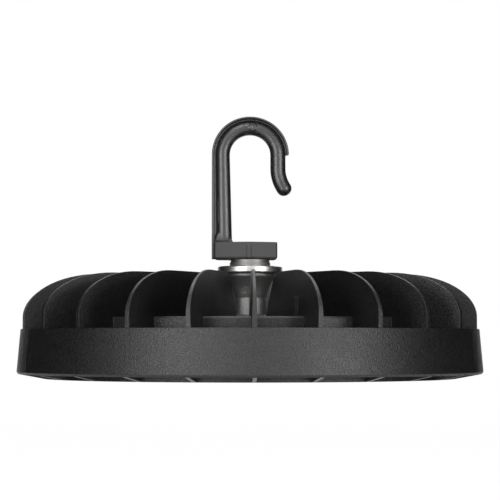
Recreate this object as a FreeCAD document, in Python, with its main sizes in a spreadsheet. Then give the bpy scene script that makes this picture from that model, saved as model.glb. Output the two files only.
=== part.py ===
"""Round high bay light: a finned aluminium casting with a hook, a cable gland and an LED engine.

The axis of the light is Z. The plane z = 0 is the lower rim, on which the light stands.
The hook lies in the XZ plane, and one fin points along each of +X, -X, +Y and -Y.
"""
import FreeCAD, Part
import math
import operator
import os
from types import SimpleNamespace

import Sketcher

# ---------------------------------------------------------------- driving dimensions

SIZES = {
    # casting, pan
    "rim_radius": 123.5,         # outer wall round the lens
    "rim_height": 9.0,
    "pan_radius": 112.0,         # outer wall above the shoulder
    "shoulder_height": 20.0,
    "deck_height": 35.9,         # top face of the pan
    "deck_thickness": 3.5,
    "deck_edge": 0.9,            # chamfer between wall and deck
    "pan_wall": 3.5,
    "rim_wall": 4.0,

    # casting, fins
    "fin_count": 24,
    "fin_top": 62.1,
    "fin_tip_thickness": 1.3,
    "fin_root_thickness": 3.0,   # level with the top of the band
    "fin_foot_thickness": 2.2,   # at the lower rim
    "fin_inset": 0.6,            # step from the band's edge in to the fins
    "fin_curve_foot": 36.6,      # where the outer edge starts to curve
    "fin_curve_run": 44.7,       # how far in the curve reaches
    "fin_crown_run": 5.0,        # the inner corner falls in two steps, first slightly
    "fin_crown_drop": 1.7,
    "fin_knee_run": 3.4,         # then steeply
    "fin_knee_drop": 3.4,
    "fin_inner_run": 13.2,       # from the knee in to the inner foot
    "fin_land": 0.5,             # level foot of the fins outside the rim

    # casting, band
    "air_gap": 13.7,             # between the rim and the band's foot
    "band_wall": 2.8,
    "band_draft": 2.2,           # how far the band leans in
    "band_top": 29.5,
    "band_bottom": 2.9,
    "band_lip": 0.8,             # how far the chamfer under the outer face goes in
    "band_lip_height": 1.3,

    # casting, boss
    "boss_radius": 10.2,
    "boss_head_radius": 13.6,
    "boss_top": 63.2,
    "boss_head_thickness": 2.6,
    "boss_flare": 11.0,          # height of the cone under the head
    "boss_groin": 2.5,           # flare where the boss meets the deck

    # casting, marks left by the mould
    "post_count": 4,
    "post_width": 2.4,
    "post_proud": 1.7,           # beyond the fin's side
    "post_inset": 13.0,          # from the pan's wall
    "post_height": 10.8,         # above the deck
    "spur_reach": 1.3,
    "spur_drop": 1.6,

    # hook fixing
    "flange_radius": 19.6,
    "flange_thickness": 4.2,
    "flange_edge": 1.3,
    "collar_radius": 12.25,
    "collar_thickness": 2.4,
    "spring_radius": 11.8,
    "spring_thickness": 1.7,
    "bolt_radius": 5.0,
    "bolt_hole_gap": 0.25,       # between bolt and the rings around it
    "bolt_head_radius": 8.0,     # over the corners
    "bolt_head_height": 5.2,
    "bolt_length": 33.5,         # under the head
    "thread_gap": 0.1,

    # hook
    "foot_thickness": 10.5,
    "foot_right": 16.4,
    "foot_middle": 1.0,          # how far left of the axis the foot is widest
    "foot_half_width": 13.0,
    "foot_left_half": 6.0,
    "foot_right_half": 7.5,
    "foot_corner": 1.8,
    "foot_floor": 5.0,           # under the bolt head
    "rib_width": 3.0,
    "rib_height": 9.3,
    "rib_proud": 0.5,            # beyond the foot's side
    "hook_axis_height": 135.2,   # centre of the arch
    "hook_outer_radius": 23.2,
    "bead_inset": 6.45,          # from the outside of the arch to the middle of the bead
    "bead_radius": 4.4,
    "bead_side_count": 12,
    "shank_foot_width": 12.5,
    "draft_thickness": 5.0,      # of the wedge that widens the shank towards the foot
    "gusset_height": 5.5,
    "gusset_thickness": 6.0,
    "rim_depth": 4.6,            # half the width of the flange round the hook
    "rim_width": 2.1,
    "rim_shank_width": 3.0,
    "web_depth": 2.2,
    "leg_drop": 8.1,             # straight part of the short leg
    "tip_angle": 34.0,
    "tip_bend": 22.0,
    "tip_shoulder": 2.4,         # length of the tip's first taper
    "tip_shoulder_draft": 18.0,
    "tip_nose": 1.5,             # length of its second taper
    "tip_nose_draft": 48.0,

    # cable gland and vent
    "gland_boss_gap": 1.4,       # between the boss's flare and the gland's corners
    "gland_fin_gap": 1.1,        # between the gland's corners and the fins
    "gland_thread_radius": 8.0,
    "gland_wall": 1.34,          # thinnest wall round the thread
    "gland_flange_thickness": 5.0,
    "gland_neck_length": 5.0,
    "gland_end_proud": 1.0,      # thread below the deck
    "gland_cap_gap": 1.0,        # between flange and cap
    "gland_cap_height": 12.0,
    "gland_seal_radius": 6.6,
    "gland_seal_proud": 1.5,     # above the cap
    "gland_bore_radius": 4.0,
    "vent_boss_gap": 5.2,
    "vent_radius": 6.6,
    "vent_height": 5.0,
    "vent_thread_radius": 4.0,
    "vent_thread_length": 6.5,

    # lens
    "lens_recess": 0.8,
    "lens_thickness": 2.6,
    "lens_gap": 0.5,             # round the lens
    "gasket_width": 3.0,
    "lens_air": 2.6,             # from the lens to the LED board

    # LED board
    "board_thickness": 2.0,
    "board_gap": 0.4,            # round the board
    "led_side": 5.0,
    "led_height": 0.7,
    "led_ring_outer": 92.0,
    "led_ring_inner": 62.0,
    "outer_led_count": 36,
    "inner_led_count": 24,
    "connector_side": 10.0,
    "connector_height": 2.0,

    # driver
    "driver_length": 110.0,
    "driver_width": 62.0,
    "driver_offset": 11.0,       # from the axis to the case
    "driver_clearance": 3.7,     # between the lid and the LED board
    "driver_wall": 1.5,
    "driver_step": 1.2,          # ledge in the case that carries the circuit
    "lid_thickness": 1.2,
    "circuit_depth": 1.6,        # under the circuit
    "circuit_thickness": 1.6,
    "circuit_gap": 0.3,          # between circuit board and case
    "transformer_inset": 12.0,   # from the end of the case
    "transformer_length": 32.0,
    "transformer_width": 28.0,
    "part_gap": 2.8,             # between the components and the case
    "capacitor_length": 18.0,
    "capacitor_width": 9.0,
    "capacitor_gap": 4.0,        # from the case
    "choke_inset": 10.0,         # from the end of the case
    "choke_length": 20.0,
    "terminal_length": 30.0,
    "terminal_width": 14.0,
    "terminal_height": 12.0,
    "terminal_place": 34.0,      # to the right of the axis
    "terminal_back": 57.0,
    "lead_width": 7.0,
    "lead_thickness": 2.5,
    "lead_gap": 0.8,             # round a lead, in the holes that it goes through
}

FULL_TURN = 360
HEXAGON_HALF = 30                # from a corner of a hexagon to the middle of a side, in degrees
TRIM = 1.0                       # how far a cutting shape runs past what it cuts


class Size:
    """A number that follows the sheet: its value now, and the expression that gives it."""

    def __init__(self, value, text):
        self.value = value
        self.text = text

    def __add__(self, other):
        return combined(self, "+", other)

    def __radd__(self, other):
        return combined(other, "+", self)

    def __sub__(self, other):
        return combined(self, "-", other)

    def __rsub__(self, other):
        return combined(other, "-", self)

    def __mul__(self, other):
        return combined(self, "*", other)

    def __rmul__(self, other):
        return combined(other, "*", self)

    def __truediv__(self, other):
        return combined(self, "/", other)

    def __rtruediv__(self, other):
        return combined(other, "/", self)

    def __neg__(self):
        return combined(0, "-", self)


OPERATIONS = {"+": operator.add, "-": operator.sub, "*": operator.mul, "/": operator.truediv}


def sized(number):
    """A plain number as a Size, so that both kinds can be mixed."""
    if isinstance(number, Size):
        return number
    return Size(number, repr(number))


def combined(left, sign, right):
    """The sum, difference, product or quotient of two sizes."""
    left = sized(left)
    right = sized(right)
    value = OPERATIONS[sign](left.value, right.value)
    return Size(value, f"({left.text} {sign} {right.text})")


def cosine(angle):
    """The cosine of an angle in degrees."""
    angle = sized(angle)
    return Size(math.cos(math.radians(angle.value)), f"cos({angle.text})")


def sine(angle):
    """The sine of an angle in degrees."""
    angle = sized(angle)
    return Size(math.sin(math.radians(angle.value)), f"sin({angle.text})")


doc = FreeCAD.newDocument("high_bay_light")
sheet = doc.addObject("Spreadsheet::Sheet", "dims")
for row, (name, value) in enumerate(SIZES.items(), start=1):
    sheet.set(f"A{row}", name)
    sheet.set(f"B{row}", str(value))
    sheet.setAlias(f"B{row}", name)
doc.recompute()
d = SimpleNamespace(**{name: Size(value, f"dims.{name}") for name, value in SIZES.items()})

pieces = []


# ---------------------------------------------------------------- helpers

def bind(obj, prop, size):
    """Ties a property to the sheet."""
    obj.setExpression(prop, sized(size).text)


def new_body(label):
    """A PartDesign body that becomes one node of the light."""
    body = doc.addObject("PartDesign::Body", label)
    body.Label = label
    body.Placement = FreeCAD.Placement()
    pieces.append(body)
    return body


def origin_feature(body, role):
    """A plane or axis of the body's own origin."""
    return next(item for item in body.Origin.OriginFeatures if item.Role == role)


def new_sketch(body, name, role, lift=None, turn=None):
    """An empty sketch on an origin plane, lifted along the plane's normal and turned in it."""
    sketch = body.newObject("Sketcher::SketchObject", name)
    sketch.AttachmentSupport = [(origin_feature(body, role), "")]
    sketch.MapMode = "FlatFace"
    if lift is not None:
        bind(sketch, "AttachmentOffset.Base.z", lift)
    if turn is not None:
        bind(sketch, "AttachmentOffset.Rotation.Angle", turn)
    return sketch


def pin(sketch, element, vertex, x, y):
    """Ties a point of a sketch to its distances from the sketch's origin."""
    for kind, size in (("DistanceX", sized(x)), ("DistanceY", sized(y))):
        index = sketch.addConstraint(Sketcher.Constraint(kind, -1, 1, element, vertex, size.value))
        sketch.setExpression(f"Constraints[{index}]", size.text)


def set_radius(sketch, element, radius):
    """Ties the radius of a circle or an arc to a size, whichever way the arc turns."""
    radius = sized(radius)
    radius = radius if radius.value > 0 else -radius
    index = sketch.addConstraint(Sketcher.Constraint("Radius", element, radius.value))
    sketch.setExpression(f"Constraints[{index}]", radius.text)


def arc_between(start, end, radius):
    """A circular arc that turns left for a positive radius and right for a negative one."""
    chord = end - start
    half = chord.Length / 2
    reach = math.sqrt(max(radius * radius - half * half, 0.0))
    across = FreeCAD.Vector(-chord.y, chord.x, 0).normalize()
    centre = (start + end) / 2 + across * math.copysign(reach, radius)
    ends = (start, end) if radius > 0 else (end, start)
    angles = [math.atan2(point.y - centre.y, point.x - centre.x) for point in ends]
    circle = Part.Circle(centre, FreeCAD.Vector(0, 0, 1), abs(radius))
    return Part.ArcOfCircle(circle, angles[0], angles[1])


def quarter_ellipse(start, end):
    """A quarter of an ellipse that leaves its start level and arrives at its end upright."""
    centre = FreeCAD.Vector(start.x, end.y, 0)
    ellipse = Part.Ellipse(centre, abs(end.x - start.x), abs(start.y - end.y))
    return Part.ArcOfEllipse(ellipse, 0, math.pi / 2)


def trace(sketch, corners):
    """A closed outline. A corner is (x, y), with a third item where the side to it is curved:
    the radius of an arc, negative if it turns right, or "ellipse"."""
    corners = [(sized(c[0]), sized(c[1]), c[2] if len(c) > 2 else None) for c in corners]
    count = len(corners)
    points = [FreeCAD.Vector(x.value, y.value, 0) for x, y, _ in corners]
    shapes = []
    ends = []                    # vertex numbers of each side: where it starts and where it ends
    for index, (_, _, bend) in enumerate(corners):
        start = points[index - 1]
        end = points[index]
        if bend is None:
            shapes.append(Part.LineSegment(start, end))
            ends.append((1, 2))
        elif bend == "ellipse":
            shapes.append(quarter_ellipse(start, end))
            ends.append((2, 1))
        else:
            bend = sized(bend)
            shapes.append(arc_between(start, end, bend.value))
            ends.append((1, 2) if bend.value > 0 else (2, 1))
    first = sketch.GeometryCount
    sketch.addGeometry(shapes, False)
    for index, (x, y, bend) in enumerate(corners):
        side = first + index
        after = (index + 1) % count
        join = Sketcher.Constraint("Coincident", side, ends[index][1], first + after, ends[after][0])
        sketch.addConstraint(join)
        pin(sketch, side, ends[index][1], x, y)
        if bend == "ellipse":
            pin(sketch, side, 3, corners[index - 1][0], y)
        elif bend is not None:
            set_radius(sketch, side, bend)
    for index, (_, _, bend) in enumerate(corners):
        if bend == "ellipse":
            axis = sketch.GeometryCount
            sketch.exposeInternalGeometry(first + index)
            sketch.addConstraint(Sketcher.Constraint("Horizontal", axis))
    return sketch


def disc(sketch, x, y, radius):
    """Adds a circle to a sketch."""
    radius = sized(radius)
    centre = FreeCAD.Vector(sized(x).value, sized(y).value, 0)
    circle = Part.Circle(centre, FreeCAD.Vector(0, 0, 1), radius.value)
    index = sketch.addGeometry(circle, False)
    pin(sketch, index, 3, x, y)
    set_radius(sketch, index, radius)
    return sketch


def polygon(sides, radius, x=0, y=0, first_angle=0):
    """The corners of a regular polygon, from the radius of the circle through them."""
    step = FULL_TURN / sides
    angles = [first_angle + step * index for index in range(sides)]
    return [(x + radius * math.cos(math.radians(a)), y + radius * math.sin(math.radians(a))) for a in angles]


def rectangle(left, right, bottom, top):
    """The corners of a rectangle."""
    return [(left, bottom), (right, bottom), (right, top), (left, top)]


def turned(body, name, corners, kind="Revolution"):
    """Turns an outline of (radius, height) corners round the axis, as a solid or as a groove."""
    sketch = trace(new_sketch(body, name + "_outline", "XZ_Plane"), corners)
    feature = body.newObject("PartDesign::" + kind, name)
    feature.Profile = sketch
    feature.ReferenceAxis = (sketch, ["V_Axis"])
    feature.Angle = FULL_TURN
    return feature


def extruded(body, name, sketch, length, kind="Pad", midplane=False, backwards=False):
    """A pad or a pocket of a sketch."""
    feature = body.newObject("PartDesign::" + kind, name)
    feature.Profile = sketch
    feature.Midplane = midplane
    feature.Reversed = backwards
    feature.Length = sized(length).value
    bind(feature, "Length", length)
    return feature


def repeated(body, name, features, count):
    """Repeats features of a body evenly round the axis."""
    pattern = body.newObject("PartDesign::PolarPattern", name)
    pattern.Originals = features
    pattern.Axis = (origin_feature(body, "Z_Axis"), [""])
    pattern.Angle = FULL_TURN
    bind(pattern, "Occurrences", count)
    body.Tip = pattern
    return pattern


def box(label, left, right, front, back, bottom, top):
    """A Part box between six planes."""
    solid = doc.addObject("Part::Box", label)
    solid.Label = label
    for prop, low, high in (("x", left, right), ("y", front, back), ("z", bottom, top)):
        bind(solid, f"Placement.Base.{prop}", low)
        bind(solid, {"x": "Length", "y": "Width", "z": "Height"}[prop], sized(high) - low)
    return solid


# ---------------------------------------------------------------- heights and radii that follow

lens_pocket_radius = d.rim_radius - d.rim_wall
bay_radius = d.pan_radius - d.pan_wall
lens_top = d.lens_recess + d.lens_thickness
board_bottom = lens_top + d.lens_air
board_ledge = board_bottom + d.board_thickness
led_bottom = board_bottom - d.led_height
deck_underside = d.deck_height - d.deck_thickness

band_radius = d.rim_radius + d.air_gap + d.band_wall
band_top_radius = band_radius - d.band_draft
band_foot = d.band_bottom + d.band_lip_height
fin_radius = band_top_radius - d.fin_inset
fin_foot_radius = band_radius - d.fin_inset

gland_hex_radius = (d.gland_thread_radius + d.thread_gap + d.gland_wall) / cosine(HEXAGON_HALF)
gland_place = d.boss_radius + d.boss_groin + d.gland_boss_gap + gland_hex_radius
vent_place = d.boss_radius + d.boss_groin + d.vent_boss_gap + d.vent_radius
fin_inner_foot = gland_place + gland_hex_radius + d.gland_fin_gap

flange_top = d.boss_top + d.flange_thickness
collar_top = flange_top + d.collar_thickness
foot_bottom = collar_top + d.spring_thickness
foot_top = foot_bottom + d.foot_thickness
bolt_seat = foot_bottom + d.foot_floor
bolt_end = bolt_seat - d.bolt_length
foot_left = d.hook_outer_radius

driver_back = -d.driver_offset
driver_front = driver_back - d.driver_width
driver_middle = (driver_front + driver_back) / 2
lid_bottom = board_ledge + d.driver_clearance
driver_bottom = lid_bottom + d.lid_thickness
circuit_bottom = driver_bottom + d.circuit_depth
circuit_top = circuit_bottom + d.circuit_thickness


# ---------------------------------------------------------------- the casting

def build_heatsink():
    """Pan, fins, band and boss, cast in one piece."""
    body = new_body("heatsink")
    foot = d.fin_foot_thickness / 2
    root = d.fin_root_thickness / 2
    tip = d.fin_tip_thickness / 2

    knee = fin_inner_foot + d.fin_inner_run
    crown = d.fin_top - d.fin_crown_drop
    side = new_sketch(body, "fin_side", "XZ_Plane")
    trace(side, [
        (fin_inner_foot, d.deck_height),
        (knee, crown - d.fin_knee_drop),
        (knee + d.fin_knee_run, crown),
        (knee + d.fin_knee_run + d.fin_crown_run, d.fin_top),
        (fin_radius - d.fin_curve_run, d.fin_top),
        (fin_radius, d.fin_curve_foot, "ellipse"),
        (fin_radius, d.band_top),
        (fin_foot_radius, d.band_bottom),
        (d.rim_radius + d.fin_land, 0),
        (d.rim_radius - TRIM, 0),
        (d.pan_radius - TRIM, d.shoulder_height),
        (d.pan_radius - TRIM, d.deck_height - TRIM),
        (fin_inner_foot, d.deck_height - TRIM),
    ])
    fin = extruded(body, "fin", side, d.fin_root_thickness, midplane=True)
    start = fin_inner_foot - TRIM
    for name, sign in (("left", 1), ("right", -1)):
        taper = new_sketch(body, f"fin_taper_{name}_section", "YZ_Plane", lift=start)
        trace(taper, [
            (sign * foot, 0),
            (sign * root, d.band_top),
            (sign * tip, d.fin_top),
            (sign * tip, d.fin_top + TRIM),
            (sign * (root + TRIM), d.fin_top + TRIM),
            (sign * (root + TRIM), -TRIM),
            (sign * foot, -TRIM),
        ])
        extruded(body, f"fin_taper_{name}", taper, fin_foot_radius + TRIM - start, kind="Pocket",
                 backwards=True)
    tapers = [doc.getObject("fin_taper_left"), doc.getObject("fin_taper_right")]
    repeated(body, "fins", [fin, *tapers], d.fin_count)

    boss_head = d.boss_top - d.boss_head_thickness
    turned(body, "pan", [
        (0, 0),
        (d.rim_radius, 0),
        (d.rim_radius, d.rim_height),
        (d.pan_radius, d.shoulder_height),
        (d.pan_radius, d.deck_height - d.deck_edge),
        (d.pan_radius - d.deck_edge, d.deck_height),
        (d.boss_radius + d.boss_groin, d.deck_height),
        (d.boss_radius, d.deck_height + d.boss_groin),
        (d.boss_radius, boss_head - d.boss_flare),
        (d.boss_head_radius, boss_head),
        (d.boss_head_radius, d.boss_top),
        (0, d.boss_top),
    ])
    turned(body, "band", [
        (band_top_radius, d.band_top),
        (band_radius, band_foot),
        (band_radius - d.band_lip, d.band_bottom),
        (band_radius - d.band_wall, d.band_bottom),
        (band_top_radius - d.band_wall, d.band_top),
    ])
    turned(body, "pan_inside", kind="Groove", corners=[
        (0, -TRIM),
        (lens_pocket_radius, -TRIM),
        (lens_pocket_radius, board_ledge),
        (bay_radius, board_ledge),
        (bay_radius, deck_underside),
        (0, deck_underside),
    ])

    post = new_sketch(body, "ejector_post_section", "XY_Plane", lift=d.deck_height - TRIM,
                      turn=FULL_TURN / d.fin_count - 90)
    outer = d.pan_radius - d.post_inset + d.post_width / 2
    inner = outer - d.post_width
    trace(post, rectangle(inner, outer, -root - d.post_proud, 0))
    post = extruded(body, "ejector_post", post, d.post_height + TRIM)
    spur = new_sketch(body, "ejector_spur_section", "XY_Plane", lift=d.deck_height + d.post_height,
                      turn=FULL_TURN / d.fin_count - 90)
    trace(spur, rectangle(inner - d.spur_reach, inner, -root - d.post_proud, 0))
    spur = extruded(body, "ejector_spur", spur, d.spur_drop, backwards=True)
    repeated(body, "ejector_posts", [post, spur], d.post_count)

    for name, height, x, y, radius, depth in (
            ("hook_thread", d.boss_top, 0, 0, d.bolt_radius, d.boss_top - bolt_end + TRIM),
            ("gland_hole", d.deck_height, 0, gland_place, d.gland_thread_radius, d.deck_thickness),
            ("vent_hole", d.deck_height, vent_place, 0, d.vent_thread_radius, d.deck_thickness)):
        section = new_sketch(body, name + "_section", "XY_Plane", lift=height)
        disc(section, x, y, radius + d.thread_gap)
        extruded(body, name, section, depth, kind="Pocket")


# ---------------------------------------------------------------- the hook and what fixes it

def build_hook():
    """A cast hook: a pointed foot, a tapered shank and an arch with a flange round its outside."""
    body = new_body("hook")
    height = d.hook_axis_height
    outer = d.hook_outer_radius
    middle = outer - d.bead_inset

    plan = new_sketch(body, "foot_plan", "XY_Plane", lift=foot_bottom)
    trace(plan, [
        (-foot_left, -d.foot_left_half),
        (-d.foot_middle, -d.foot_half_width),
        (d.foot_right, -d.foot_right_half),
        (d.foot_right, d.foot_right_half),
        (-d.foot_middle, d.foot_half_width),
        (-foot_left, d.foot_left_half),
    ])
    foot = extruded(body, "foot", plan, d.foot_thickness)
    doc.recompute()
    corners = [f"Edge{number}" for number, edge in enumerate(foot.Shape.Edges, start=1)
               if edge.BoundBox.ZLength > edge.Length / 2]
    rounding = body.newObject("PartDesign::Fillet", "foot_corners")
    rounding.Base = (foot, corners)
    rounding.Radius = SIZES["foot_corner"]
    bind(rounding, "Radius", d.foot_corner)

    web = new_sketch(body, "web_outline", "XZ_Plane")
    trace(web, [
        (-middle, foot_top - TRIM),
        (-outer + d.rim_width / 2, foot_top - TRIM),
        (-outer + d.rim_width / 2, height),
        (0, height + outer - d.rim_width / 2, d.rim_width / 2 - outer),
        (outer - d.rim_width / 2, height, d.rim_width / 2 - outer),
        (middle, height),
        (0, height + middle, middle),
        (-middle, height, middle),
    ])
    extruded(body, "web", web, 2 * d.web_depth, midplane=True)

    inner_shank = outer - d.rim_shank_width
    inner_arch = outer - d.rim_width
    inner_bend = (inner_shank + inner_arch) / 2
    rim = new_sketch(body, "rim_outline", "XZ_Plane")
    trace(rim, [
        (-inner_shank, foot_bottom),
        (-outer, foot_bottom),
        (-outer, height),
        (0, height + outer, -outer),
        (outer, height, -outer),
        (inner_arch, height),
        (0, height + inner_arch, inner_arch),
        (-inner_shank, height, inner_bend),
    ])
    extruded(body, "rim", rim, 2 * d.rim_depth, midplane=True)

    draft = new_sketch(body, "shank_draft_outline", "XZ_Plane")
    trace(draft, [
        (-middle, foot_top - TRIM),
        (-foot_left + d.shank_foot_width, foot_top - TRIM),
        (-foot_left + d.shank_foot_width, foot_top),
        (-middle + d.bead_radius, height),
        (-middle, height),
    ])
    extruded(body, "shank_draft", draft, d.draft_thickness, midplane=True)
    gusset = new_sketch(body, "gusset_outline", "XZ_Plane")
    trace(gusset, [
        (-inner_shank, foot_top - TRIM),
        (-middle, foot_top - TRIM),
        (-middle, foot_top + d.gusset_height),
        (-middle - d.bead_radius, foot_top + d.gusset_height),
    ])
    extruded(body, "gusset", gusset, d.gusset_thickness, midplane=True)

    ribs = new_sketch(body, "rib_plan", "XY_Plane", lift=foot_bottom)
    rib_y = d.foot_half_width - d.rib_width / 2 + d.rib_proud
    disc(ribs, -d.foot_middle, -rib_y, d.rib_width / 2)
    disc(ribs, -d.foot_middle, rib_y, d.rib_width / 2)
    extruded(body, "ribs", ribs, d.rib_height)

    for name, seat, radius, depth in (
            ("bolt_pocket", foot_top, d.bolt_head_radius + d.bolt_hole_gap, d.foot_thickness - d.foot_floor),
            ("bolt_hole", bolt_seat, d.bolt_radius + d.bolt_hole_gap, d.foot_floor)):
        section = disc(new_sketch(body, name + "_section", "XY_Plane", lift=seat), 0, 0, radius)
        extruded(body, name, section, depth, kind="Pocket")

    flats = d.bead_radius / math.cos(math.pi / SIZES["bead_side_count"])
    half_step = FULL_TURN / SIZES["bead_side_count"] / 2

    def bead(name, lift, x, shift=0):
        """A section of the bead, centred on x, in a sketch whose origin is shifted along X."""
        sketch = new_sketch(body, name + "_section", "XY_Plane", lift=lift)
        bind(sketch, "AttachmentOffset.Base.x", shift)
        return trace(sketch, polygon(SIZES["bead_side_count"], flats, x, 0, half_step))

    def swept(name, sketch, angle, backwards):
        """Turns a section about the sketch's own V axis."""
        feature = body.newObject("PartDesign::Revolution", name)
        feature.Profile = sketch
        feature.ReferenceAxis = (sketch, ["V_Axis"])
        feature.Reversed = backwards
        feature.Angle = sized(angle).value
        bind(feature, "Angle", angle)

    extruded(body, "shank", bead("shank", foot_top - TRIM, -middle), height - foot_top + TRIM)
    swept("arch", bead("arch", height, -middle), FULL_TURN / 2, backwards=False)
    extruded(body, "leg", bead("leg", height, middle), d.leg_drop, backwards=True)
    swept("tip_curve", bead("tip_curve", height - d.leg_drop, -d.tip_bend, middle + d.tip_bend), d.tip_angle,
          backwards=True)
    end_x = middle + d.tip_bend * (1 - cosine(d.tip_angle))
    end_z = height - d.leg_drop - d.tip_bend * sine(d.tip_angle)
    radius = flats
    run = 0
    for name, length, draft in (("tip_shoulder", d.tip_shoulder, d.tip_shoulder_draft),
                                ("tip_nose", d.tip_nose, d.tip_nose_draft)):
        sketch = new_sketch(body, name + "_section", "XY_Plane")
        tilt = FreeCAD.Rotation(FreeCAD.Vector(0, -1, 0), SIZES["tip_angle"])
        sketch.AttachmentOffset = FreeCAD.Placement(FreeCAD.Vector(), tilt)
        bind(sketch, "AttachmentOffset.Rotation.Angle", d.tip_angle)
        bind(sketch, "AttachmentOffset.Base.x", end_x + run * sine(d.tip_angle))
        bind(sketch, "AttachmentOffset.Base.z", end_z - run * cosine(d.tip_angle))
        trace(sketch, polygon(SIZES["bead_side_count"], radius, 0, 0, half_step))
        end = extruded(body, name, sketch, length, backwards=True)
        bind(end, "TaperAngle", -draft)
        run = run + length
        radius = radius - length * sine(draft) / cosine(draft) / math.cos(math.radians(half_step))


def build_ring(label, bottom, thickness, radius, edge=None):
    """A ring round the hook's bolt, with its upper edge chamfered where an edge is given."""
    bore = d.bolt_radius + d.bolt_hole_gap
    top = bottom + thickness
    body = new_body(label)
    if edge is None:
        turned(body, label + "_ring", [(bore, bottom), (radius, bottom), (radius, top), (bore, top)])
    else:
        turned(body, label + "_ring", [
            (bore, bottom),
            (radius, bottom),
            (radius, top - edge),
            (radius - edge, top),
            (bore, top),
        ])


def build_hook_bolt():
    """A hexagon head bolt: the head lies in the hook's foot, the shank in the boss."""
    body = new_body("hook_bolt")
    shank = disc(new_sketch(body, "bolt_shank_section", "XY_Plane", lift=bolt_end), 0, 0, d.bolt_radius)
    extruded(body, "bolt_shank", shank, bolt_seat - bolt_end)
    head = new_sketch(body, "bolt_head_section", "XY_Plane", lift=bolt_seat)
    trace(head, polygon(6, d.bolt_head_radius))
    extruded(body, "bolt_head", head, d.bolt_head_height)


# ---------------------------------------------------------------- cable gland and vent

gland_flange_top = d.deck_height + d.gland_flange_thickness
gland_neck_top = gland_flange_top + d.gland_neck_length
gland_end = deck_underside - d.gland_end_proud
cap_bottom = gland_flange_top + d.gland_cap_gap
cap_top = cap_bottom + d.gland_cap_height


def gland_sketch(body, name, height, *radii):
    """Circles on the gland's axis at a height."""
    sketch = new_sketch(body, name + "_section", "XY_Plane", lift=height)
    for radius in radii:
        disc(sketch, 0, gland_place, radius)
    return sketch


def build_gland():
    """Body, sealing insert and cap, all on the gland's axis."""
    hole = d.gland_thread_radius + d.thread_gap

    body = new_body("gland_body")
    thread = gland_sketch(body, "gland_thread", gland_end, d.gland_thread_radius, d.gland_bore_radius)
    extruded(body, "gland_thread", thread, gland_neck_top - gland_end)
    flange = gland_sketch(body, "gland_flange", d.deck_height, d.gland_bore_radius)
    trace(flange, polygon(6, gland_hex_radius, 0, gland_place))
    extruded(body, "gland_flange", flange, d.gland_flange_thickness)

    seal = new_body("gland_seal")
    ring = gland_sketch(seal, "seal", gland_neck_top, d.gland_seal_radius, d.gland_bore_radius)
    extruded(seal, "seal", ring, cap_top + d.gland_seal_proud - gland_neck_top)

    cap = new_body("gland_cap")
    section = gland_sketch(cap, "cap", cap_bottom)
    trace(section, polygon(6, gland_hex_radius, 0, gland_place))
    extruded(cap, "cap", section, d.gland_cap_height)
    mouth = gland_sketch(cap, "cap_mouth", cap_top, d.gland_seal_radius + d.thread_gap)
    extruded(cap, "cap_mouth", mouth, d.gland_cap_height, kind="Pocket")
    thread = gland_sketch(cap, "cap_thread", cap_bottom, hole)
    extruded(cap, "cap_thread", thread, gland_neck_top - cap_bottom, kind="Pocket", backwards=True)


def build_vent():
    """A breather plug screwed into the deck."""
    body = new_body("vent_plug")
    head = new_sketch(body, "vent_head_section", "XY_Plane", lift=d.deck_height)
    trace(head, polygon(6, d.vent_radius, vent_place, 0))
    extruded(body, "vent_head", head, d.vent_height)
    thread = new_sketch(body, "vent_thread_section", "XY_Plane", lift=d.deck_height)
    disc(thread, vent_place, 0, d.vent_thread_radius)
    extruded(body, "vent_thread", thread, d.vent_thread_length, backwards=True)


# ---------------------------------------------------------------- lens and LED board

def lead_opening(sketch):
    """Adds to a sketch the opening that the flat lead to the LEDs goes through."""
    half_width = d.lead_width / 2 + d.lead_gap
    half_depth = d.lead_thickness / 2 + d.lead_gap
    trace(sketch, rectangle(-half_width, half_width, driver_middle - half_depth, driver_middle + half_depth))


def build_lens():
    """The lens plate and the gasket between it and the LED board."""
    radius = lens_pocket_radius - d.lens_gap
    lens = new_body("lens")
    plate = disc(new_sketch(lens, "lens_section", "XY_Plane", lift=d.lens_recess), 0, 0, radius)
    extruded(lens, "lens", plate, d.lens_thickness)
    gasket = new_body("lens_gasket")
    ring = new_sketch(gasket, "gasket_section", "XY_Plane", lift=lens_top)
    disc(ring, 0, 0, radius)
    disc(ring, 0, 0, radius - d.gasket_width)
    extruded(gasket, "gasket", ring, board_bottom - lens_top)


def build_led_board():
    """The metal board that closes the driver's bay, its LEDs, connector and lead."""
    board = new_body("led_board")
    section = new_sketch(board, "board_section", "XY_Plane", lift=board_bottom)
    disc(section, 0, 0, lens_pocket_radius - d.board_gap)
    lead_opening(section)
    extruded(board, "board", section, d.board_thickness)

    leds = new_body("leds")
    half = d.led_side / 2
    for name, ring, count in (("outer", d.led_ring_outer, d.outer_led_count),
                              ("inner", d.led_ring_inner, d.inner_led_count)):
        section = new_sketch(leds, name + "_led_section", "XY_Plane", lift=led_bottom)
        trace(section, rectangle(ring - half, ring + half, -half, half))
        led = extruded(leds, name + "_led", section, d.led_height)
        repeated(leds, name + "_leds", [led], count)

    side = d.connector_side / 2
    pieces.append(box("led_connector", -side, side, driver_middle - side, driver_middle + side,
                      board_bottom - d.connector_height, board_bottom))
    half_width = d.lead_width / 2
    half_depth = d.lead_thickness / 2
    pieces.append(box("led_lead", -half_width, half_width, driver_middle - half_depth,
                      driver_middle + half_depth, board_bottom, circuit_bottom))


# ---------------------------------------------------------------- driver

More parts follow.
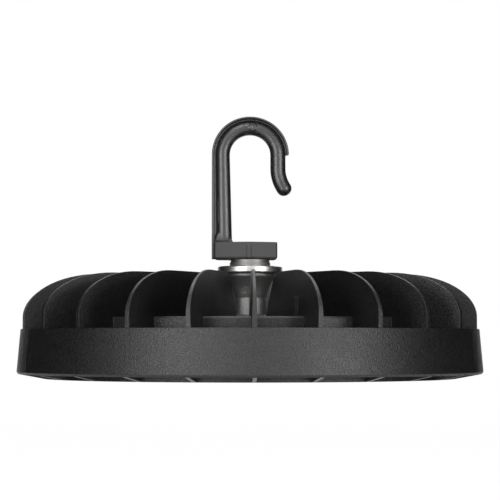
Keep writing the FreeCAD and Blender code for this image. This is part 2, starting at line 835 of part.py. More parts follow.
def build_driver():
    """A case under the deck with its lid, circuit and components, and the supply terminals."""
    left = -d.driver_length / 2
    right = d.driver_length / 2

    def inset(sketch, gap):
        """Adds the case's plan to a sketch, smaller by a gap all round."""
        return trace(sketch, rectangle(left + gap, right - gap, driver_front + gap, driver_back - gap))

    case = new_body("driver_case")
    plan = inset(new_sketch(case, "case_plan", "XY_Plane", lift=driver_bottom), 0)
    extruded(case, "case_blank", plan, deck_underside - driver_bottom)
    seat = inset(new_sketch(case, "case_seat_plan", "XY_Plane", lift=driver_bottom), d.driver_wall)
    extruded(case, "case_seat", seat, d.circuit_depth + d.circuit_thickness, kind="Pocket", backwards=True)
    inside = new_sketch(case, "case_inside_plan", "XY_Plane", lift=driver_bottom)
    inset(inside, d.driver_wall + d.driver_step)
    ceiling = deck_underside - d.driver_wall
    extruded(case, "case_inside", inside, ceiling - driver_bottom, kind="Pocket", backwards=True)

    lid = new_body("driver_lid")
    plan = inset(new_sketch(lid, "lid_plan", "XY_Plane", lift=lid_bottom), 0)
    lead_opening(plan)
    extruded(lid, "lid", plan, d.lid_thickness)

    gap = d.driver_wall + d.circuit_gap
    pieces.append(box("driver_circuit", left + gap, right - gap, driver_front + gap, driver_back - gap,
                      circuit_bottom, circuit_top))
    parts_top = ceiling - d.part_gap
    half = d.transformer_width / 2
    start = left + d.transformer_inset
    pieces.append(box("transformer", start, start + d.transformer_length,
                      driver_middle - half, driver_middle + half, circuit_top, parts_top))
    half = d.choke_length / 2
    end = right - d.choke_inset
    pieces.append(box("choke", end - d.choke_length, end, driver_middle - half, driver_middle + half,
                      circuit_top, parts_top))
    half = d.capacitor_length / 2
    capacitor_back = driver_back - d.driver_wall - d.driver_step - d.capacitor_gap
    pieces.append(box("film_capacitor", -half, half, capacitor_back - d.capacitor_width, capacitor_back,
                      circuit_top, parts_top))

    half = d.terminal_length / 2
    terminal_front = d.terminal_back - d.terminal_width
    pieces.append(box("terminal_block", d.terminal_place - half, d.terminal_place + half,
                      terminal_front, d.terminal_back, deck_underside - d.terminal_height, deck_underside))
    half = d.lead_width / 2
    lead_height = deck_underside - d.terminal_height / 2
    lead_half = d.lead_thickness / 2
    pieces.append(box("mains_lead", d.terminal_place - half, d.terminal_place + half,
                      driver_back, terminal_front, lead_height - lead_half, lead_height + lead_half))


# ---------------------------------------------------------------- build, check and write

build_heatsink()
build_hook()
build_ring("flange_washer", d.boss_top, d.flange_thickness, d.flange_radius, d.flange_edge)
build_ring("hook_collar", flange_top, d.collar_thickness, d.collar_radius)
build_ring("spring_washer", collar_top, d.spring_thickness, d.spring_radius)
build_hook_bolt()
build_gland()
build_vent()
build_lens()
build_led_board()
build_driver()

doc.recompute()
for obj in doc.Objects:
    faults = {"Invalid", "Error"} & set(obj.State)
    if faults:
        raise RuntimeError(f"{obj.Label} did not build: {obj.State}")
os.makedirs("parts", exist_ok=True)
for piece in pieces:
    if piece.Shape.isNull() or not piece.Shape.isValid():
        raise RuntimeError(f"{piece.Label} has no valid shape")
for piece in pieces:
    piece.Shape.exportStep(f"parts/{piece.Label}.step")
print(len(pieces), "pieces written")
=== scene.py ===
"""High bay light on a pale floor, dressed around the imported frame."""
import math

import bmesh
import bpy
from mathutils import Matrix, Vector


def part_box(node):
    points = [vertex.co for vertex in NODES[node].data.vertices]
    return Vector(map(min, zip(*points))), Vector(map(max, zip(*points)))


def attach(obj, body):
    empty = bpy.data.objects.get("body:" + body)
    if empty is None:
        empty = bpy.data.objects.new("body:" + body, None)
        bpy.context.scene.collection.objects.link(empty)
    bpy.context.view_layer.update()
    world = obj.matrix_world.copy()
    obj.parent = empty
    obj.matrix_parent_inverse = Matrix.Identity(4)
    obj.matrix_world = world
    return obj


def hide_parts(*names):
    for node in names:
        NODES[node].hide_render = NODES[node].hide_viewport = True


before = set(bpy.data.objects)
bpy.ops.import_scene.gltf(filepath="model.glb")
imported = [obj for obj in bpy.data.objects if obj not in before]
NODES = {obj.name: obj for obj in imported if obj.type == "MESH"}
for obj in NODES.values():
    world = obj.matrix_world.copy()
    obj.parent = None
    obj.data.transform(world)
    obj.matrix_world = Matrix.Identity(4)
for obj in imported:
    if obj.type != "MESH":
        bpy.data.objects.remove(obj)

MM = 0.001
SCENE = bpy.context.scene
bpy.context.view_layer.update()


# ---------------------------------------------------------------- node trees

class Nodes:
    """A node tree, with short ways to add nodes and join them."""

    def __init__(self, tree):
        self.tree = tree

    def feed(self, socket, value):
        """Gives a socket a plain value or the output of another node."""
        if isinstance(value, bpy.types.NodeSocket):
            self.tree.links.new(value, socket)
        else:
            socket.default_value = value

    def node(self, kind, **settings):
        """A new node; keys with a capital letter are inputs, the rest are properties."""
        node = self.tree.nodes.new(kind)
        for key, value in settings.items():
            if key[0].isupper():
                self.feed(node.inputs[key.replace("_", " ")], value)
            else:
                setattr(node, key, value)
        return node

    def math(self, operation, first, second, clamp=False):
        node = self.node("ShaderNodeMath", operation=operation, use_clamp=clamp)
        self.feed(node.inputs[0], first)
        self.feed(node.inputs[1], second)
        return node.outputs["Value"]

    def ramp(self, value, low, high, start, end):
        """Goes from one number to another while a value goes from low to high."""
        return self.node("ShaderNodeMapRange", Value=value, From_Min=low, From_Max=high,
                         To_Min=start, To_Max=end).outputs["Result"]

    def blend(self, factor, first, second):
        """Mixes two shaders."""
        node = self.node("ShaderNodeMixShader", Fac=factor)
        self.feed(node.inputs[1], first)
        self.feed(node.inputs[2], second)
        return node.outputs["Shader"]

    def seen(self):
        """One for camera, glossy and transmission rays, zero for the rest."""
        path = self.node("ShaderNodeLightPath")
        total = path.outputs["Is Camera Ray"]
        for name in ("Is Glossy Ray", "Is Transmission Ray"):
            total = self.math("ADD", total, path.outputs[name], clamp=True)
        return total


class Shader(Nodes):
    """A material with its Principled shader, patterned by object coordinates in metres."""

    COLORS, MIXED = (6, 7), 2       # the mix node's colour sockets: two inputs and the output
    BEVEL_SAMPLES = 4

    def __init__(self, name, color, roughness, **inputs):
        self.material = bpy.data.materials.new(name)
        self.material.use_nodes = True
        super().__init__(self.material.node_tree)
        self.main = self.tree.nodes["Principled BSDF"]
        self.place = self.node("ShaderNodeTexCoord").outputs["Object"]
        self.set(Base_Color=(*color, 1), Roughness=roughness, **inputs)

    def set(self, **inputs):
        """Gives the Principled shader's inputs plain values or the outputs of other nodes."""
        for key, value in inputs.items():
            self.feed(self.main.inputs[key.replace("_", " ")], value)

    def axis(self, name):
        """One of the coordinates."""
        return self.node("ShaderNodeSeparateXYZ", Vector=self.place).outputs[name]

    def radius(self):
        """Distance from the light's axis."""
        square = self.math("ADD", *(self.math("POWER", self.axis(name), 2.0) for name in "XY"))
        return self.math("SQRT", square, 0.0)

    def noise(self, scale, detail=2.0, rough=0.5, vector=None):
        return self.node("ShaderNodeTexNoise", Scale=scale, Detail=detail, Roughness=rough,
                         Vector=vector or self.place).outputs["Fac"]

    def grain(self, fine, coarse, share):
        """Two noises added, the fine one by its share and the coarse one by the rest."""
        return self.math("ADD", self.math("MULTIPLY", fine, share), self.math("MULTIPLY", coarse, 1 - share))

    def tint(self, value, low, high, dark, light):
        """Goes from one colour to another while a value goes from low to high."""
        node = self.node("ShaderNodeValToRGB", Fac=value)
        stops = node.color_ramp.elements
        stops[0].position, stops[1].position = low, high
        stops[0].color, stops[1].color = (*dark, 1), (*light, 1)
        return node.outputs["Color"]

    def mix(self, factor, *colors):
        """Mixes two colours."""
        node = self.node("ShaderNodeMix", data_type="RGBA", Factor=factor)
        for index, color in zip(self.COLORS, colors):
            self.feed(node.inputs[index], color)
        return node.outputs[self.MIXED]

    def bump(self, height, distance, strength, edge=None):
        """Bump, over edges rounded by a bevel where its radius is given."""
        node = self.node("ShaderNodeBump", Height=height, Distance=distance, Strength=strength)
        if edge is not None:
            bevel = self.node("ShaderNodeBevel", Radius=edge, samples=self.BEVEL_SAMPLES)
            self.feed(node.inputs["Normal"], bevel.outputs["Normal"])
        self.set(Normal=node.outputs["Normal"])


# ---------------------------------------------------------------- materials

BOSS_EDGE = (0.0165, 0.0180)    # radii between the boss's turned skin and the coat round it, in metres
FOOT_EDGE = (0.083, 0.087)      # heights between the foot's dull coat and the rest of the hook's, in metres


def powder_coat():
    """Black textured powder coat over cast aluminium, which is half bare on the turned boss."""
    s = Shader("powder_coat", (0.010, 0.010, 0.0103), 0.42, Specular_IOR_Level=0.45)
    grain = s.grain(s.noise(1700, 1.0), s.noise(850), 0.7)
    on_boss = s.ramp(s.radius(), *BOSS_EDGE, 1.0, 0.0)
    coat = s.tint(grain, 0.40, 0.62, (0.002, 0.002, 0.0022), (0.017, 0.017, 0.0175))
    bare = s.tint(grain, 0.38, 0.66, (0.13, 0.128, 0.125), (0.20, 0.197, 0.193))
    patches = s.ramp(s.noise(28, 3.0, 0.6), 0.3, 0.7, 0.35, 0.43)
    s.set(Base_Color=s.mix(on_boss, coat, bare), Metallic=s.math("MULTIPLY", on_boss, 0.75),
          Roughness=s.math("SUBTRACT", patches, s.math("MULTIPLY", on_boss, 0.04)))
    s.bump(grain, 0.00032, 0.9, edge=0.0005)
    return s.material


def cast_hook():
    """Satin dark coat on the hook, with a fine grain, a painted highlight that makes its edges lighter, and
    duller on the foot.
    """
    s = Shader("hook_coat", (0.016, 0.0148, 0.0165), 0.36, Specular_IOR_Level=0.8)
    grain = s.grain(s.noise(2300, 2.0, 0.6), s.noise(800), 0.5)
    # painted highlight: convex edges, found by pointiness, get a lighter colour that stands in for light
    # caught on the rounded edges
    painted_edge_highlight = s.ramp(s.node("ShaderNodeNewGeometry").outputs["Pointiness"], 0.51, 0.56, 0.0, 1.0)
    on_foot = s.ramp(s.axis("Z"), *FOOT_EDGE, 1.0, 0.0)
    coat = s.tint(grain, 0.38, 0.64, (0.004, 0.0037, 0.0043), (0.018, 0.0165, 0.0187))
    # the lighter colour of the painted edge highlight
    edge_highlight_color = s.tint(grain, 0.38, 0.64, (0.035, 0.033, 0.036), (0.070, 0.067, 0.072))
    satin = s.ramp(grain, 0.35, 0.65, 0.31, 0.38)
    s.set(Base_Color=s.mix(painted_edge_highlight, coat, edge_highlight_color),
          Roughness=s.math("ADD", satin, s.math("MULTIPLY", on_foot, 0.26)))
    s.bump(grain, 0.00018, 0.8)
    return s.material


def turned_steel(name, color, roughness, rings, depth, anisotropy=0.5):
    """Metal with turning lines round the light's axis."""
    s = Shader(name, color, roughness, Metallic=1.0, Anisotropic=anisotropy)
    join = s.node("ShaderNodeCombineXYZ", X=s.radius(), Z=s.axis("Z"))
    lines = s.noise(rings, 3.0, 0.7, vector=join.outputs["Vector"])
    dark = tuple(c * 0.78 for c in color)
    s.set(Base_Color=s.tint(s.noise(90, 3.0, 0.6), 0.3, 0.7, dark, color),
          Roughness=s.ramp(lines, 0.3, 0.7, roughness * 0.8, roughness * 1.35))
    s.bump(lines, depth, 0.6, edge=0.0002)
    return s.material


def plastic(name, dark, light, roughness, scale=900):
    """Moulded plastic or rubber with a fine grain and broad, faint patches."""
    s = Shader(name, light, roughness)
    grain = s.noise(scale, 3.0, 0.55)
    s.set(Base_Color=s.tint(s.noise(scale / 12, 3.0, 0.6), 0.3, 0.7, dark, light),
          Roughness=s.ramp(grain, 0.3, 0.7, roughness * 0.85, roughness * 1.15))
    s.bump(grain, 0.00006, 0.7, edge=0.0003)
    return s.material


def clear_lens():
    """Clear polycarbonate, slightly frosted."""
    s = Shader("lens_clear", (0.96, 0.97, 0.98), 0.12, Transmission_Weight=0.92, IOR=1.58)
    grain = s.noise(700)
    s.set(Roughness=s.ramp(grain, 0.3, 0.7, 0.08, 0.2))
    s.bump(grain, 0.00005, 0.5)
    return s.material


def solder_mask():
    """White solder mask with faint patches."""
    s = Shader("solder_mask", (0.82, 0.83, 0.82), 0.35)
    s.set(Base_Color=s.tint(s.noise(60), 0.3, 0.7, (0.76, 0.77, 0.76), (0.84, 0.85, 0.84)))
    s.bump(s.noise(300), 0.00003, 0.5)
    return s.material


COAT = powder_coat()
HOOK = cast_hook()
BRIGHT = turned_steel("bright_steel", (0.50, 0.49, 0.47), 0.26, 5200, 0.00004)
ZINC = turned_steel("satin_zinc", (0.24, 0.235, 0.23), 0.5, 4200, 0.00005, anisotropy=0.1)
NYLON = plastic("black_nylon", (0.018, 0.018, 0.018), (0.032, 0.032, 0.032), 0.42)
RUBBER = plastic("black_rubber", (0.014, 0.014, 0.014), (0.024, 0.024, 0.024), 0.68)
SILICONE = plastic("pale_silicone", (0.62, 0.62, 0.60), (0.74, 0.74, 0.72), 0.55)
LENS = clear_lens()
MASK = solder_mask()
PHOSPHOR = plastic("phosphor", (0.78, 0.60, 0.14), (0.88, 0.72, 0.24), 0.3, scale=1600)
CREAM = plastic("cream_nylon", (0.74, 0.72, 0.66), (0.82, 0.80, 0.75), 0.4)
LEAD = plastic("lead_insulation", (0.42, 0.03, 0.03), (0.55, 0.06, 0.05), 0.45)
SHEET_METAL = turned_steel("sheet_aluminium", (0.62, 0.63, 0.64), 0.34, 900, 0.00003)
LAMINATE = plastic("green_laminate", (0.02, 0.14, 0.06), (0.04, 0.22, 0.09), 0.4)
TAPE = plastic("yellow_tape", (0.55, 0.38, 0.06), (0.70, 0.52, 0.10), 0.5)
MOULDED = plastic("moulded_component", (0.05, 0.05, 0.06), (0.09, 0.09, 0.10), 0.45)
GREY_NYLON = plastic("grey_polyamide", (0.60, 0.60, 0.58), (0.70, 0.70, 0.68), 0.45)

MATERIALS = {
    "heatsink": COAT, "hook": HOOK, "flange_washer": BRIGHT, "hook_collar": ZINC, "spring_washer": ZINC,
    "hook_bolt": ZINC, "gland_body": NYLON, "gland_seal": RUBBER, "gland_cap": NYLON, "vent_plug": NYLON,
    "lens": LENS, "lens_gasket": SILICONE, "led_board": MASK, "leds": PHOSPHOR, "led_connector": CREAM,
    "led_lead": LEAD, "driver_case": SHEET_METAL, "driver_lid": SHEET_METAL, "driver_circuit": LAMINATE,
    "transformer": TAPE, "choke": MOULDED, "film_capacitor": MOULDED, "terminal_block": GREY_NYLON,
    "mains_lead": LEAD}

for node, material in MATERIALS.items():
    mesh = NODES[node].data
    mesh.materials.clear()
    mesh.materials.append(material)


# ---------------------------------------------------------------- mesh helpers

WELD = 1e-7                     # metres within which points of a turned piece are one


def circle(count, radius=1.0, other=None):
    """Points evenly round a circle, or round an oval where the second half width is given."""
    other = radius if other is None else other
    angles = [2 * math.pi * k / count for k in range(count)]
    return [(radius * math.cos(a), other * math.sin(a)) for a in angles]


def level(points, z, centre=(0, 0)):
    """Puts (x, y) points on a level plane. All in mm."""
    return [Vector((centre[0] + x, centre[1] + y, z)) * MM for x, y in points]


def bridge(bm, low, high):
    """Faces between two closed rings of vertices."""
    count = len(low)
    for i in range(count):
        bm.faces.new((low[i], low[(i + 1) % count], high[(i + 1) % count], high[i]))


def loft(bm, rings):
    """Joins closed rings of points, all with the same count, into a capped tube."""
    rows = [[bm.verts.new(p) for p in ring] for ring in rings]
    for low, high in zip(rows, rows[1:]):
        bridge(bm, low, high)
    bm.faces.new(list(reversed(rows[0])))
    bm.faces.new(rows[-1])


def lathe(bm, outline, count, centre):
    """Turns a closed outline of (radius, height) points, in mm, round an upright axis."""
    rows = []
    for cos, sin in circle(count):
        rows.append([bm.verts.new(Vector((centre[0] + r * cos, centre[1] + r * sin, z)) * MM)
                     for r, z in outline])
    for here, there in zip(rows, rows[1:] + rows[:1]):
        bridge(bm, here, there)


def fillet(points, radius, steps=5):
    """Rounds the corners of a closed outline. A point may carry its own radius as a third number."""
    longest = 0.49              # share of a side that one corner's rounding may take
    out = []
    for i, point in enumerate(points):
        corner = Vector(point[:2])
        before = Vector(points[i - 1][:2]) - corner
        after = Vector(points[(i + 1) % len(points)][:2]) - corner
        u, v = before.normalized(), after.normalized()
        half = u.angle(v) / 2
        wanted = point[2] if len(point) > 2 else radius
        back = min(wanted / math.tan(half), before.length * longest, after.length * longest)
        centre = corner + (u + v).normalized() * (back * math.tan(half) / math.sin(half))
        start, end = corner + u * back - centre, corner + v * back - centre
        turn = start.angle_signed(end)
        for k in range(steps + 1):
            c, s = math.cos(-turn * k / steps), math.sin(-turn * k / steps)
            out.append((centre.x + start.x * c - start.y * s, centre.y + start.x * s + start.y * c))
    return out


def to_mesh(bm, name):
    """Ends a bmesh as a mesh whose faces point outward."""
    bmesh.ops.recalc_face_normals(bm, faces=bm.faces)
    mesh = bpy.data.meshes.new(name)
    bm.to_mesh(mesh)
    bm.free()
    return mesh


def add_object(name, data):
    item = bpy.data.objects.new(name, data)
    SCENE.collection.objects.link(item)
    return item


def new_piece(name, mesh, material):
    """A smooth piece of the light in one material."""
    for face in mesh.polygons:
        face.use_smooth = True
    mesh.materials.clear()
    mesh.materials.append(material)
    piece = add_object(name, mesh)
    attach(piece, "root")
    return piece


def new_turned(name, outline, count, material, places=((0, 0),)):
    """One piece made of the same turned shape at one or more places, in mm."""
    bm = bmesh.new()
    for place in places:
        lathe(bm, outline, count, place)
    bmesh.ops.remove_doubles(bm, verts=bm.verts, dist=WELD)
    return new_piece(name, to_mesh(bm, name), material)


# ---------------------------------------------------------------- hook, in mm until a point is placed

HOOK_LOW, HOOK_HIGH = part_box("hook")
OUTER = -HOOK_LOW.x / MM        # from the light's axis to the hook's outer edge
ARCH_Z = HOOK_HIGH.z / MM - OUTER
FOOT_BOTTOM = HOOK_LOW.z / MM
FOOT_HEIGHT = 10.5
FOOT_TOP = FOOT_BOTTOM + FOOT_HEIGHT

BEAD_INSET = 6.6                # from the outer edge to the middle of the round bead
BEAD_X = OUTER - BEAD_INSET
BEAD_R = 4.35
BEAD_COUNT = 40
BEAD_SINK = 2                   # how deep the bead starts in the foot
SHANK_SHIFT, SHANK_SWELL = 1.0, 0.45    # how far the bead moves in and widens down the shank
SHANK_STEPS = 8
ARCH_STEPS = 48
LEG_R = 4.65                    # the bead is thicker on the leg
LEG_SHIFT = 0.35                # and a little further out
LEG_DROP = 8.1                  # from the arch's middle down to the leg's bend
LEG_BEND, LEG_TURN = 22.0, math.radians(34)
LEG_STEPS = 16
TIP_STEPS = 10

RIM = (1.5, 1.2, 4.6)           # width on the shank, width round the arch, half depth
WEB = (6.0, 5.0, 1.6)
RIM_ROUND = 0.35
RIM_FADE = 30                   # from the arch's middle down to where the shank's width begins

# the shank's root in the foot: height over its top, left and right from the outer edge, half depth
ROOT_STEP = ((-2.0, 2.0, 12.9, 7.4), (0.0, 2.0, 12.9, 6.4), (0.8, 2.4, 12.6, 5.2), (1.8, 3.0, 12.2, 4.2))
ROOT_NECK = ((-2.0, 1.6, 8.0, 6.4), (0.6, 1.7, 8.0, 4.6), (2.0, 1.9, 8.0, 4.2), (5.0, 2.8, 8.0, 3.8),
             (8.0, 4.2, 8.0, 3.0))
ROOT_TAPER = 0.9                # half depth at the root's outer side, as a share of the inner
FOOT_ROUND = 1.6

FOOT_LEFT, FOOT_RIGHT = -OUTER + 1.4, 16.4
FOOT_PLAN = ((FOOT_LEFT, -6.6), (-1.0, -13.0), (FOOT_RIGHT, -7.5),
             (FOOT_RIGHT, 7.5), (-1.0, 13.0), (FOOT_LEFT, 6.6))
FOOT_SCALE = (17, 12)           # half length and half depth that its insets are taken from
FOOT_LEVELS = ((1.5, 0.0), (0.45, 0.5), (0.0, 1.3), (0.0, 10.0), (0.3, FOOT_HEIGHT))    # inset, height

RIB_PLACE = (-0.9, 11.8)        # the half-round ribs on the foot's front and back corners
RIB_SIZE = (1.75, 1.4)          # half width, half depth
RIB_COUNT = 24
RIB_LEVELS = ((0.9, 0.8), (1.0, 1.4), (1.0, 8.0), (0.85, 9.0), (0.4, 9.7))              # size, height
MARK_X, MARK_RISE = 1.6, 0.2    # the ejector marks at the arch's top, from its middle and over the bead's
MARK_RINGS = ((2.15, 3.2), (2.15, 4.85), (1.95, 5.0), (1.6, 5.0), (1.4, 4.3), (0.8, 4.3), (0.6, 4.85))
MARK_COUNT = 32

# the bolt's seat and hole: radius, bottom, top
BORES = ((8.25, FOOT_BOTTOM + 5.0, FOOT_TOP + 3), (5.25, FOOT_BOTTOM - 3, FOOT_BOTTOM + 6))
BORE_COUNT = 64
VOXEL = 0.35
SOFTEN_STEPS = 3


def place_section(section, origin, outward):
    """Puts a section of (outward, across) points at a place in the XZ plane."""
    out = Vector((outward[0], 0, outward[1]))
    return [(Vector((origin[0], 0, origin[1])) + out * u + Vector((0, v, 0))) * MM for u, v in section]


def arch_frames():
    """Places and outward directions of the bead's middle round the arch."""
    for k in range(ARCH_STEPS + 1):
        a = math.pi - math.pi * k / ARCH_STEPS
        wide = BEAD_X + LEG_SHIFT * k / ARCH_STEPS
        yield (wide * math.cos(a), ARCH_Z + BEAD_X * math.sin(a)), (math.cos(a), math.sin(a))


def leg_frames():
    """The same down the leg, whose lower part bends outward."""
    for k in range(LEG_STEPS + 1):
        a = LEG_TURN * k / LEG_STEPS
        out, down = LEG_BEND * (1 - math.cos(a)), LEG_BEND * math.sin(a)
        yield (BEAD_X + LEG_SHIFT + out, ARCH_Z - LEG_DROP - down), (math.cos(a), math.sin(a))


def add_bead(bm):
    """The round bead: it widens down the shank, and ends in a dome at the leg's tip."""
    rings = []
    bottom, top = FOOT_TOP - BEAD_SINK, ARCH_Z - 0.5
    for k in range(SHANK_STEPS + 1):
        low = 1 - k / SHANK_STEPS
        centre = (-BEAD_X + SHANK_SHIFT * low, bottom + (top - bottom) * (1 - low))
        section = circle(BEAD_COUNT, BEAD_R + SHANK_SWELL * low, BEAD_R)
        rings.append(place_section(section, centre, (-1, 0)))
    for k, frame_here in enumerate(arch_frames()):
        radius = BEAD_R + (LEG_R - BEAD_R) * k / ARCH_STEPS
        rings.append(place_section(circle(BEAD_COUNT, radius), *frame_here))
    for origin, outward in leg_frames():
        rings.append(place_section(circle(BEAD_COUNT, LEG_R), origin, outward))
    along = (outward[1], -outward[0])
    for k in range(1, TIP_STEPS):
        a = math.pi / 2 * k / TIP_STEPS
        centre = [start + step * BEAD_R * math.sin(a) for start, step in zip(origin, along)]
        rings.append(place_section(circle(BEAD_COUNT, LEG_R * math.cos(a)), centre, outward))
    loft(bm, rings)


def add_bar(bm, shank_width, arch_width, half_depth):
    """A flat bar along the outside of the shank and the arch."""
    on_shank, on_arch = (
        fillet([(BEAD_INSET, -half_depth), (BEAD_INSET, half_depth),
                (BEAD_INSET - width, half_depth), (BEAD_INSET - width, -half_depth)], RIM_ROUND, steps=4)
        for width in (shank_width, arch_width))
    rows = [place_section(on_shank, (-BEAD_X, z), (-1, 0)) for z in (FOOT_BOTTOM + 0.5, ARCH_Z - RIM_FADE)]
    rows += [place_section(on_arch, *frame_here) for frame_here in arch_frames()]
    loft(bm, rows)


def add_root(bm, stations):
    """Part of the shank's root, which runs out into the foot's faces."""
    rows = []
    for rise, left, right, front in stations:
        plan = [(-OUTER + left, -front * ROOT_TAPER), (-OUTER + right, -front),
                (-OUTER + right, front), (-OUTER + left, front * ROOT_TAPER)]
        rows.append(level(fillet(plan, FOOT_ROUND), FOOT_TOP + rise))
    loft(bm, rows)


def add_foot(bm):
    """The foot, with its lower edges rounded, and its two ribs."""
    plan = fillet(FOOT_PLAN, FOOT_ROUND)
    length, depth = FOOT_SCALE
    rows = []
    for inset, rise in FOOT_LEVELS:
        smaller = [(x * (1 - inset / length), y * (1 - inset / depth)) for x, y in plan]
        rows.append(level(smaller, FOOT_BOTTOM + rise))
    loft(bm, rows)
    width, depth = RIB_SIZE
    for side in (-1, 1):
        centre = (RIB_PLACE[0], RIB_PLACE[1] * side)
        loft(bm, [level(circle(RIB_COUNT, width * size, depth * size), FOOT_BOTTOM + rise, centre)
                  for size, rise in RIB_LEVELS])


def add_marks(bm):
    """A round ejector mark on each face of the arch."""
    for side in (-1, 1):
        loft(bm, [[Vector((MARK_X + x, side * depth, ARCH_Z + BEAD_X + MARK_RISE + z)) * MM
                   for x, z in circle(MARK_COUNT, radius)] for radius, depth in MARK_RINGS])


def cut_bores(rough):
    """The object's mesh once its modifiers are run, with the bolt's seat and hole cut."""
    bm = bmesh.new()
    for radius, *heights in BORES:
        loft(bm, [level(circle(BORE_COUNT, radius), z) for z in heights])
    cutter = add_object("hook_cutter", to_mesh(bm, "hook_cutter"))
    cut = rough.modifiers.new("bore", "BOOLEAN")
    cut.operation, cut.solver, cut.object = "DIFFERENCE", "EXACT", cutter
    cut.use_self = True
    evaluated = rough.evaluated_get(bpy.context.evaluated_depsgraph_get())
    mesh = bpy.data.meshes.new_from_object(evaluated)
    bpy.data.objects.remove(cutter)
    return mesh


def make_hook():
    """The cast hook: its parts are merged into one skin, softened, and bored for the bolt."""
    bm = bmesh.new()
    add_bead(bm)
    add_bar(bm, *RIM)
    add_bar(bm, *WEB)
    add_root(bm, ROOT_STEP)
    add_root(bm, ROOT_NECK)
    add_foot(bm)
    add_marks(bm)
    rough = add_object("hook_rough", to_mesh(bm, "hook_rough"))
    merge = rough.modifiers.new("merge", "REMESH")
    merge.mode = "VOXEL"
    merge.voxel_size = VOXEL * MM
    soften = rough.modifiers.new("soften", "SMOOTH")
    soften.factor, soften.iterations = 0.5, SOFTEN_STEPS
    mesh = cut_bores(rough)
    bpy.data.objects.remove(rough)
    hook = new_piece("hook_cast", mesh, HOOK)
    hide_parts("hook")


# ---------------------------------------------------------------- bright flange and boss

FLANGE_BORE = 5.25              # radius of the hole for the bolt
FLANGE_SLOPE = (0.9, 0.5)       # the sloped upper edge, across and down
FLARE_BORE = 9.6                # radius at which the flare ends inside the boss
# the flare's curve: radius, depth under the flange
FLARE = ((10.3, 14.5), (10.9, 12), (11.8, 9), (13.1, 6), (14.6, 3.6), (15.5, 2.2), (15.8, 1.4), (15.8, 0.3),
         (15.5, 0))
FLARE_DEPTH = 16


def make_flange():
    """The bright turned flange, with its edges rounded."""
    low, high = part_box("flange_washer")
    bottom, top, radius = low.z / MM, high.z / MM, high.x / MM
    across, down = FLANGE_SLOPE
    outline = fillet([(FLANGE_BORE, bottom, 0.2), (radius, bottom, 0.9), (radius, top - down),
                      (radius - across, top), (FLANGE_BORE, top, 0.2)], 0.3, steps=6)
    ring = new_turned("flange_ring", outline, 128, BRIGHT)
    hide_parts("flange_washer")


def make_boss_flare():
    """The cast flare under the flange, which widens in a curve from the boss to its head."""
    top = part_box("flange_washer")[0].z / MM
    outline = [(FLARE_BORE, top - FLARE_DEPTH)] + [(radius, top - depth) for radius, depth in FLARE]
    new_turned("boss_flare", outline + [(FLARE_BORE, top)], 96, COAT)


# ---------------------------------------------------------------- underside

LED_RINGS = ((92.0, 36), (62.0, 24))        # radius and count
OPTIC_R, OPTIC_DROP, OPTIC_SINK = 5.2, 0.7, 0.3
SCREW_SINK = 0.1


def spread(ring, count, start=0.0):
    """Places spaced evenly round a ring, in mm, from a share of a step on."""
    for k in range(count):
        a = 2 * math.pi * (k + start) / count
        yield ring * math.cos(a), ring * math.sin(a)


def make_optics():
    """A shallow round optic in the lens under each LED."""
    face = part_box("lens")[0].z / MM
    angles = [math.pi / 2 * k / 6 for k in range(7)]
    dome = [(OPTIC_R * math.sin(a), face - OPTIC_DROP * math.cos(a)) for a in angles]
    outline = dome + [(OPTIC_R, face + OPTIC_SINK), (0.0, face + OPTIC_SINK)]
    places = [place for ring, count in LED_RINGS for place in spread(ring, count)]
    new_turned("lens_optics", outline, 28, LENS, places)


def make_screws():
    """Pan-head screws with a round socket: through the lens's edge, and through the LED board."""
    for name, node, ring, count, radius, height in (("lens_screws", "lens", 114.0, 12, 2.6, 0.7),
                                                    ("board_screws", "led_board", 77.0, 6, 3.2, 1.8)):
        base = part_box(node)[0].z / MM
        low = base - height
        head = [(0.0, low + height * 0.7), (radius * 0.42, low + height * 0.7), (radius * 0.45, low),
                (radius * 0.75, low), (radius * 0.95, low + height * 0.35), (radius, base + SCREW_SINK),
                (0.0, base + SCREW_SINK)]
        new_turned(name, head, 24, ZINC, spread(ring, count, 0.5))


# ---------------------------------------------------------------- stage, in metres

FLOOR_Z, FLOOR_REACH = -0.30, 6
FLOOR_GREY = 0.82
FLOOR_GLOW, FLOOR_GLOW_SHARE = 1.25, 0.72   # what keeps the floor white where it is seen
WORLD_FILL = 0.4                            # the world's level for rays that only carry light
FLAG_X, FLAG_FRONT, FLAG_BACK = 0.5, -0.32, 0.8
FLAG_BOTTOM, FLAG_TOP = FLOOR_Z + 0.1, 0.9
KEY_REACH, KEY_HEIGHT, KEY_SIZE = 1.6, 0.16, (0.6, 0.6)
AIM = (0, 0, 0.05)


def stage_panel(name, corners, material):
    """A four-cornered panel for the stage, in one material."""
    mesh = bpy.data.meshes.new(name)
    mesh.from_pydata(corners, [], [(0, 1, 2, 3)])
    mesh.materials.append(material)
    panel = add_object(name, mesh)
    return panel


def floor_material():
    """A pale floor that glows where it is seen, and can't be seen from below."""
    material = bpy.data.materials.new("floor")
    material.use_nodes = True
    material.node_tree.nodes.clear()
    n = Nodes(material.node_tree)
    diffuse = n.node("ShaderNodeBsdfDiffuse", Color=(FLOOR_GREY, FLOOR_GREY, FLOOR_GREY, 1)).outputs["BSDF"]
    glow = n.node("ShaderNodeEmission", Strength=FLOOR_GLOW).outputs["Emission"]
    clear = n.node("ShaderNodeBsdfTransparent").outputs["BSDF"]
    shown = n.blend(n.seen(), diffuse, n.blend(FLOOR_GLOW_SHARE, diffuse, glow))
    below = n.node("ShaderNodeNewGeometry").outputs["Backfacing"]
    n.node("ShaderNodeOutputMaterial", Surface=n.blend(below, shown, clear))
    return material


def make_floor():
    corners = [(x * FLOOR_REACH, y * FLOOR_REACH, FLOOR_Z) for x, y in ((-1, -1), (1, -1), (1, 1), (-1, 1))]
    stage_panel("floor", corners, floor_material())


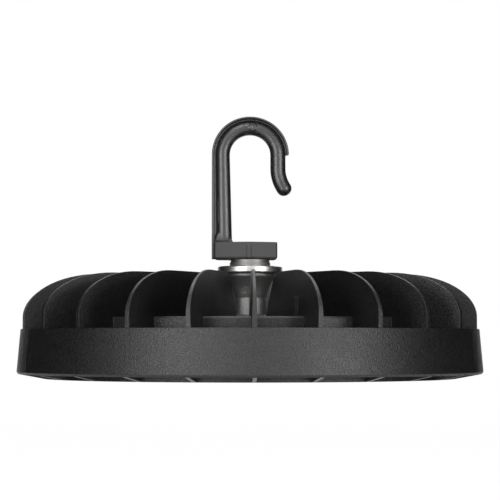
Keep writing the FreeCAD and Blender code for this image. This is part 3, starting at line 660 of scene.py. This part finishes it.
def make_flag(name, side):
    """A dark panel beside the object, out of the camera's sight, that keeps the sides of dark pieces dark."""
    x = side * FLAG_X
    corners = [(x, FLAG_FRONT, FLAG_BOTTOM), (x, FLAG_BACK, FLAG_BOTTOM), (x, FLAG_BACK, FLAG_TOP),
               (x, FLAG_FRONT, FLAG_TOP)]
    black = Shader(name, (0.02, 0.02, 0.02), 0.5, Specular_IOR_Level=0.0)
    stage_panel(name, corners, black.material).visible_camera = False


def make_world():
    """A white studio all round, weaker as a light than where it is seen."""
    SCENE.world = bpy.data.worlds.new("studio")
    SCENE.world.use_nodes = True
    SCENE.world.node_tree.nodes.clear()
    n = Nodes(SCENE.world.node_tree)
    strength = n.ramp(n.seen(), 0.0, 1.0, WORLD_FILL, 1.0)
    background = n.node("ShaderNodeBackground", Color=(1, 1, 1, 1), Strength=strength)
    n.node("ShaderNodeOutputWorld", Surface=background.outputs["Background"])


def turn_to(item, place, direction):
    """Puts a lamp or the camera at a place, looking along a direction."""
    item.location = place
    item.rotation_mode = "QUATERNION"
    item.rotation_quaternion = Vector(direction).to_track_quat("-Z", "Y")


def area_light(name, place, target, size, power):
    data = bpy.data.lights.new(name, "AREA")
    data.shape, data.energy = "RECTANGLE", power
    data.size, data.size_y = size
    turn_to(add_object(name, data), place, Vector(target) - Vector(place))


def key_light(name, azimuth, power):
    """A low lamp in front, turned to the right round the light by an azimuth in degrees."""
    turn = math.radians(azimuth)
    place = (KEY_REACH * math.sin(turn), -KEY_REACH * math.cos(turn), KEY_HEIGHT)
    area_light(name, place, AIM, KEY_SIZE, power)


def make_camera():
    """A long lens in front, a little to the left and low, looking slightly up."""
    data = bpy.data.cameras.new("camera")
    data.lens, data.sensor_width = 131.0, 36.0
    data.clip_start, data.clip_end = 0.05, 50
    swing, pitch = math.radians(-1.06), math.radians(2.89)
    reach, height = 1.102, 0.0219
    place = (math.sin(swing) * reach, -math.cos(swing) * reach, height)
    look = (-math.sin(swing) * math.cos(pitch), math.cos(swing) * math.cos(pitch), math.sin(pitch))
    SCENE.camera = add_object("camera", data)
    turn_to(SCENE.camera, place, look)


# ---------------------------------------------------------------- build

make_hook()
make_flange()
make_boss_flare()
make_optics()
make_screws()

make_floor()
make_world()
make_camera()
key_light("key_left", azimuth=-33, power=10)
key_light("key_right", azimuth=39, power=11)
area_light("front_top", (-0.25, -1.1, 1.2), (0, 0, 0.1), size=(0.7, 0.4), power=7)
area_light("top", (0.0, 0.6, 1.8), AIM, size=(1.2, 0.8), power=12)
make_flag("flag_left", side=-1)
make_flag("flag_right", side=1)
SCENE.view_settings.view_transform = "Standard"
